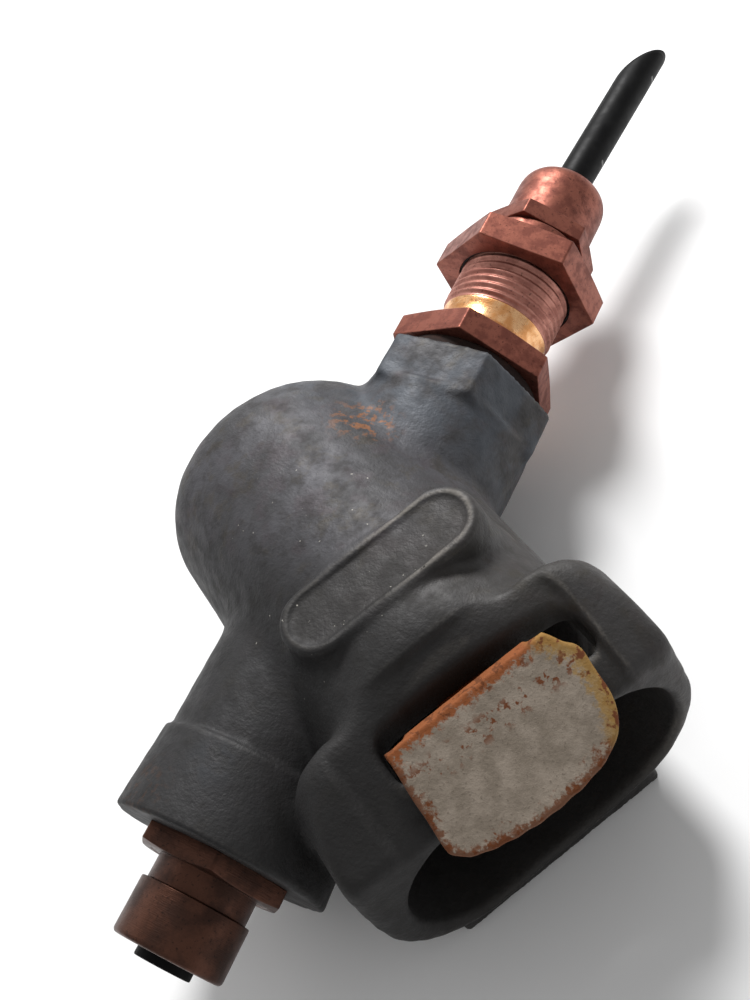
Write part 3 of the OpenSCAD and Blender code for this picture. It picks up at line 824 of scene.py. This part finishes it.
# ---------------------------------------------------------------- the pieces
def make_inlet(copper, plastic, fibre):
    """The fitting at the lower end, its dark inner tube, and the washers at both ends."""
    turned("tail_sleeve", [(4.35, 0, 0.3), (8.4, 0, 0.8), (8.4, 8.2, 0.2), (6.6, 8.2, 0.1),
                           (6.6, 5.5, 0.1), (4.35, 5.5, 0.1)],
           "valve", copper, ["inlet_tail"])
    outer = [(5, 4.5), (6.55, 4.5), (6.55, 8.2), (7.65, 8.2), (7.65, 11.8), (9, 11.8), (9, 14.8),
             (9.9, 14.8), (9.9, 26), (5, 26)]
    turned("adapter_core", [(r, y, 0.15) for r, y in outer], "valve", copper,
           ["inlet_adapter"])
    nut("adapter_hexagon", (11.7, 14.9), 21, 34, 8.9, "valve", copper,
        chamfer=(0.25, 0.1), corner=0.5)
    valve_ring("inlet_washer_ring", "inlet_washer", (9.95, 11.2), (14.9, 16.6), 0.35,
               fibre)
    tube_end = ring_outline(2.9, 4.3, span("inlet_tube")[0], 5.2)
    turned("inlet_tube_end", tube_end, "valve", plastic, ["inlet_tube"])
    valve_ring("neck_washer_ring", "neck_washer", (10.05, 12.4), (98.4, 101.2), 0.5,
               fibre)


def thread_rows(inner):
    """Rows of a fine screw thread, faded at both ends, that close through the bore."""
    low, high, pitch, step = 112.3, 126.3, 1.5, 0.1
    angles = even_angles(144)
    rows = [np.stack([np.full_like(angles, r), np.full_like(angles, y)], axis=-1)
            for r, y in ((inner, low), (8.6, low))]
    for y in np.arange(low, high + step / 2, step):
        turn = (y / pitch - angles / (2 * math.pi)) % 1
        ridge = 0.5 - 0.5 * np.cos(2 * math.pi * turn)
        fade = np.clip(min(y - low, high - y) / 0.9, 0, 1)
        radius = 9.4 + 0.55 * ridge * fade
        rows.append(np.stack([radius, np.full_like(angles, y)], axis=-1))
    rows.append(np.stack([np.full_like(angles, 8.6), np.full_like(angles, high)], axis=-1))
    rows.append(np.stack([np.full_like(angles, inner), np.full_like(angles, high)], axis=-1))
    return np.stack(rows), angles


def make_gland(plate, gold, rubber, thread):
    """The gland with its hexagon, golden neck and thread, and the nut and rings on it."""
    core = [(5, 94), (9.95, 94), (9.95, 101), (8.55, 101), (8.55, 126.3), (7, 126.3), (7, 138),
            (4.9, 138), (4.9, 130.1), (3.67, 130.1), (3.67, 109), (5, 109)]
    turned("gland_core", [(r, y, 0.15) for r, y in core], "valve", plate,
           ["gland_body"])
    nut("gland_hexagon", (101.2, 105.8), 26.07, 14.6, 8.5, "valve", plate,
        chamfer=(0.02, 0.16), face_r=0.985, cut=0.2)
    shoulder = ring_outline(8.5, 10.9, 105.8, 106.7, 0.35)
    turned("gland_shoulder", shoulder, "valve", plate)
    neck = [(8.5, 106.7, 0.2), (9.9, 106.7, 0.2), (9.9, 107.4, 0.5), (9.15, 108.6, 1.0),
            (9.15, 110.6, 1.0), (9.6, 112.3, 0.4), (8.5, 112.3, 0.2)]
    turned("gland_neck", neck, "valve", gold)
    rows, angles = thread_rows(8.5)
    points, faces = around(rows, angles)
    make_piece("gland_thread", points, faces, "valve", thread)
    nut("lock_nut_hexagon", (121, 126.3), 25.9, -6.3, 10.06, "lock_nut", plate,
        ["lock_nut"], chamfer=(0.02, 0.16), sink=0.95, sink_r=10.42, face_r=0.985, cut=0.16)
    turned("lock_ring", ring_outline(10.05, 10.38, 121.3, 121.9, 0.1), "nut_ring",
           rubber, ["thread_ring"])
    valve_ring("spacer_ring", "spacer_washer", (7.05, 10.8), (126.4, 127.7), 0.3,
               plate)
    valve_ring("gland_collar_ring", "gland_collar", (7.05, 9.6), (127.7, 130.3), 0.5,
               plate)


def make_cap(plate):
    """The cap: a small hexagon that runs into a round head."""
    angles = hex_angles(6.7)
    side = hex_radius(angles, 18.7, 6.7, 0.35)
    low = 130.5 + (side - 9.2) * 0.02
    high = 133.8 - (side - 9.2) * 0.16
    outline = [(7.06, 130.5, 0.15), (9.1, 130.5, 0.15), (side, low, 0.15), (side, high, 0.15),
               (8.5, 133.8, 0.3), (8.2, 134.2, 0.2), (8.2, 143.4, 1.7), (7.2, 145.2, 0.9),
               (4.07, 145.2, 0.4), (4.07, 140.4, 0.15), (7.06, 140.4, 0.15)]
    turned("cap_dome", outline, "gland_cap", plate, ["gland_cap"], angles)


def make_tube(plastic):
    """The bent black tube, with its slanting end."""
    before, after = TUBE_BEND_Y - 3, TUBE_BEND_Y + 3
    angles = even_angles(96)
    straight = np.concatenate([np.linspace(TUBE_LOW_Y, before, 12),
                               np.linspace(before + 1, after, 6)])
    rows = []
    for radius, heights in ((TUBE_R, straight), (TUBE_BORE_R, straight[::-1])):
        tip = TUBE_CUT_MIDDLE + radius * np.sin(angles) * math.tan(TUBE_CUT)
        past = [after + (tip - 3) * t for t in (0.25, 0.5, 0.75, 0.9, 0.97, 1.0)]
        level = [np.full_like(angles, y) for y in heights]
        level = level + past if radius == TUBE_R else past[::-1] + level
        rows += [np.stack([np.full_like(angles, radius), y], axis=-1) for y in level]
    points, faces = around(np.stack(rows), angles)
    points = bent(points, TUBE_BEND_Y, TUBE_LEAN)
    make_piece("probe_tube", points, faces, "valve", plastic, ["sensing_tube"])


def bent(points, bend, lean, soft=3.0):
    """Points along a straight tube, leant towards +X above a height, in a smooth bend."""
    past = points[:, 1] - bend
    share = np.clip((past + soft) / (2 * soft), 0, 1)
    angle = lean * share
    middle = lean * np.where(past > soft, past, soft * share ** 2)
    moved = points.copy()
    moved[:, 0] = middle + points[:, 0] * np.cos(angle)
    moved[:, 1] = points[:, 1] - points[:, 0] * np.sin(angle) - np.maximum(past, 0) * lean ** 2 / 2
    return moved


TONGUE_OUTLINE = 3 * [(-0.3, -13)] + 2 * [(-0.1, 11.2)] + [(1.9, 12.2), (3.9, 13.8), (6.8, 13.5), (11.3, 13),
                  (14.3, 11.3), (16, 8.8), (16.9, 5.1), (17.2, 1.6), (17.2, -2.6), (16.6, -7.3),
                  (15.6, -11.4), (14.1, -13.7), (12.7, -14.1), (6.2, -13.5)]


def cut_corners(outline):
    """The outline with each corner cut at a quarter of both its sides."""
    result = []
    for (ax, ay), (bx, by) in zip(outline, outline[1:] + outline[:1]):
        result.append((0.75 * ax + 0.25 * bx, 0.75 * ay + 0.25 * by))
        result.append((0.25 * ax + 0.75 * bx, 0.25 * ay + 0.75 * by))
    return result


TONGUE_ROUNDED = cut_corners(cut_corners(TONGUE_OUTLINE))


def tongue_field(p):
    """The tongue: a thin plate over the facet, its riser and its strap."""
    s, w, n = chamber_place(p)
    run, height = facet_run(s, n), facet_height(s, n)
    outline = polygon_field(run, w, TONGUE_ROUNDED) + 0.06 * np.sin(1.9 * w + run) - 0.25
    curl = 0.12 * np.sin(0.35 * w + 0.3) * np.clip(run / 12, 0, 1)
    thick = np.maximum(PLATE_HEIGHT[0] - height, height - PLATE_HEIGHT[1])
    plate = soft_max(outline, thick + curl, 0.5)
    riser = block(s, w, n, *RISER, 0.4)
    strap = block(s, w, n, *STRAP, 0.3)
    return soft_min(soft_min(plate, riser, 0.8), strap, 0.5)


def make_tongue(material):
    """The tongue's mesh, with each point's distance from the rim and place stored on it."""
    low, high = (np.array(corner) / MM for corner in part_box("easing_tongue"))
    step = 0.33
    piece = mesh_field("easing_tongue_plate", tongue_field, low - 1, high + 1, step, "easing_lever",
                       material, ["easing_tongue"], most=90_000)
    s, w, n = chamber_place(mesh_points(piece))
    run = facet_run(s, n)
    store(piece, "rim", -polygon_field(run, w, TONGUE_ROUNDED))
    store(piece, "run", run)
    store(piece, "side", w)


def make_spring(material, turns=7.0, sides=12, steps=260):
    """The relief spring: round wire with closed ends."""
    low, high = span("relief_spring")
    inner, outer = radii("relief_spring")
    wire, middle = (outer - inner) / 2 * 0.98, (outer + inner) / 2
    t = np.linspace(0, 1, steps)
    rise = np.clip((t * turns - 1) / (turns - 2), 0, 1)
    ends = 2.05 * wire * (np.clip(t * turns, 0, 1) + np.clip(t * turns - turns + 1, 0, 1))
    height = low + wire + ends + rise * (high - low - 2 * wire - 2 * 2.05 * wire)
    angle = 2 * math.pi * turns * t
    ring = np.linspace(0, 2 * math.pi, sides, endpoint=False)
    radius = middle + wire * np.cos(ring)[None, :]
    points = np.stack([radius * np.sin(angle)[:, None],
                       height[:, None] + wire * np.sin(ring)[None, :],
                       radius * np.cos(angle)[:, None]], axis=-1).reshape(-1, 3)
    index = np.arange(steps * sides).reshape(steps, sides)
    nearby = np.roll(index, -1, axis=1)
    faces = np.stack([index[:-1], nearby[:-1], nearby[1:], index[1:]], axis=-1).reshape(-1, 4)
    caps = [[row[k], row[k + 1], row[sides - 2 - k], row[sides - 1 - k]]
            for row in (index[0][::-1], index[-1]) for k in range(sides // 2 - 1)]
    piece = make_piece("relief_spring_wire", points, np.concatenate([faces, caps]), "valve",
                       material, ["relief_spring"])
    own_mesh(piece)


def dress_cad_nodes(looks):
    """Every CAD node that is still shown takes the look of its slot."""
    slots = {row["node"]: row["material_slot"] for row in frame["record"]["subparts"]}
    for name, node in frame["nodes"].items():
        look = looks[slots[name]]
        if not node.material_slots:
            node.data.materials.append(look)
        for slot in node.material_slots:
            slot.material = look


# ---------------------------------------------------------------- light, floor and camera
def area_light(name, place, target, size, power):
    """A soft round light that looks at a target."""
    lamp = bpy.data.lights.new(name, "AREA")
    lamp.shape = "DISK"
    lamp.size = size
    lamp.energy = power
    holder = bpy.data.objects.new(name, lamp)
    holder.location = place
    aim = Vector(place) - Vector(target)
    holder.rotation_euler = aim.to_track_quat("Z", "Y").to_euler()
    bpy.context.collection.objects.link(holder)


def make_floor():
    """A plain pale floor under the foot."""
    look = Look("pale_floor", 0.0, 0.9)
    tone = look.noise(40.0, 2.0)
    colour = look.blend(look.ramp(tone, 0.3, 0.7), linear(247, 247, 247), linear(250, 250, 250))
    look.finish(colour)
    mesh = bpy.data.meshes.new("floor")
    wide, level = 1.6, FOOT_N * MM
    corners = [(-wide, -wide, level), (wide, -wide, level), (wide, wide, level), (-wide, wide, level)]
    mesh.from_pydata(corners, [], [(0, 1, 2, 3)])
    mesh.materials.append(look.material)
    floor = bpy.data.objects.new("floor", mesh)
    bpy.context.collection.objects.link(floor)


def make_light():
    """An even white surround, a soft key light from above and beyond, and a weak side light."""
    world = bpy.data.worlds.new("studio")
    world.use_nodes = True
    world.node_tree.nodes["Background"].inputs[0].default_value = (1, 1, 1, 1)
    world.node_tree.nodes["Background"].inputs[1].default_value = 0.42
    bpy.context.scene.world = world
    area_light("key", (-0.28, 0.62, 0.62), (0.01, 0.08, 0), 0.3, 9.0)
    area_light("side", (-0.55, 0.05, 0.35), (0, 0.06, 0), 0.5, 0.5)
    bpy.context.scene.view_settings.view_transform = "Standard"


def make_camera():
    """The photograph's viewpoint: above the mouth, turned so that the pipe runs up to the right."""
    right = (0.8165, 0.4360, -0.3785)
    up = (-0.1807, 0.8156, 0.5496)
    back = (0.5483, -0.3804, 0.7447)
    camera = bpy.data.cameras.new("camera")
    camera.lens = 42.125
    camera.sensor_width = 36
    camera.clip_start = 0.01
    holder = bpy.data.objects.new("camera", camera)
    turn = Matrix((right, up, back)).transposed().to_4x4()
    holder.matrix_world = Matrix.Translation((0.099336, 0.00277, 0.142303)) @ turn
    bpy.context.collection.objects.link(holder)
    bpy.context.scene.camera = holder


def make_looks():
    """Every finish, by the name of its slot in the record."""
    copper = metal_look("copper_plate_worn", (146, 88, 73), (116, 66, 55), (64, 34, 27))
    dark = metal_look("dark_copper_tarnished", (84, 54, 42), (60, 39, 31), (34, 23, 19),
                      (0.35, 0.5), patch_size=5.0)
    gold = metal_look("bare_brass_turned", (244, 192, 140), (214, 150, 92), (140, 90, 52),
                      (0.22, 0.35))
    steel = metal_look("stainless_turned", (196, 194, 190), (168, 166, 163), (120, 116, 112),
                       (0.25, 0.38), depth=0.015)
    spring = metal_look("spring_steel_drawn", (136, 136, 140), (108, 108, 112), (70, 66, 64),
                        (0.3, 0.42), depth=0.015)
    rubber = soft_look("black_rubber_dull", (24, 24, 25), (44, 43, 42), 0.6)
    plastic = soft_look("black_plastic_smooth", (8, 8, 9), (17, 17, 18), 0.55, depth=0.012,
                        specular=0.12)
    fibre = soft_look("dark_fibre", (34, 20, 16), (60, 38, 30), 0.75, 0.4, 0.05)
    return {"cast_metal": cast_look(), "copper_plate": copper, "dark_copper": dark,
            "bare_brass": gold, "rusty_zinc_steel": tongue_look(), "stainless": steel,
            "spring_steel": spring, "fibre": fibre, "black_rubber": rubber,
            "black_plastic": plastic}


def main():
    make_camera()
    make_light()
    make_floor()
    looks = make_looks()
    dress_cad_nodes(looks)
    make_casting(looks["cast_metal"])
    make_inlet(looks["dark_copper"], looks["black_plastic"], looks["fibre"])
    # The thread takes a lighter copy of the copper plate: painted sheen.
    thread = metal_look("copper_plate_thread_painted_sheen", (190, 134, 120), (164, 110, 98), (100, 62, 54))
    make_gland(looks["copper_plate"], looks["bare_brass"], looks["black_rubber"], thread)
    make_cap(looks["copper_plate"])
    make_tube(tube_look())
    make_tongue(looks["rusty_zinc_steel"])
    make_spring(looks["spring_steel"])


main()
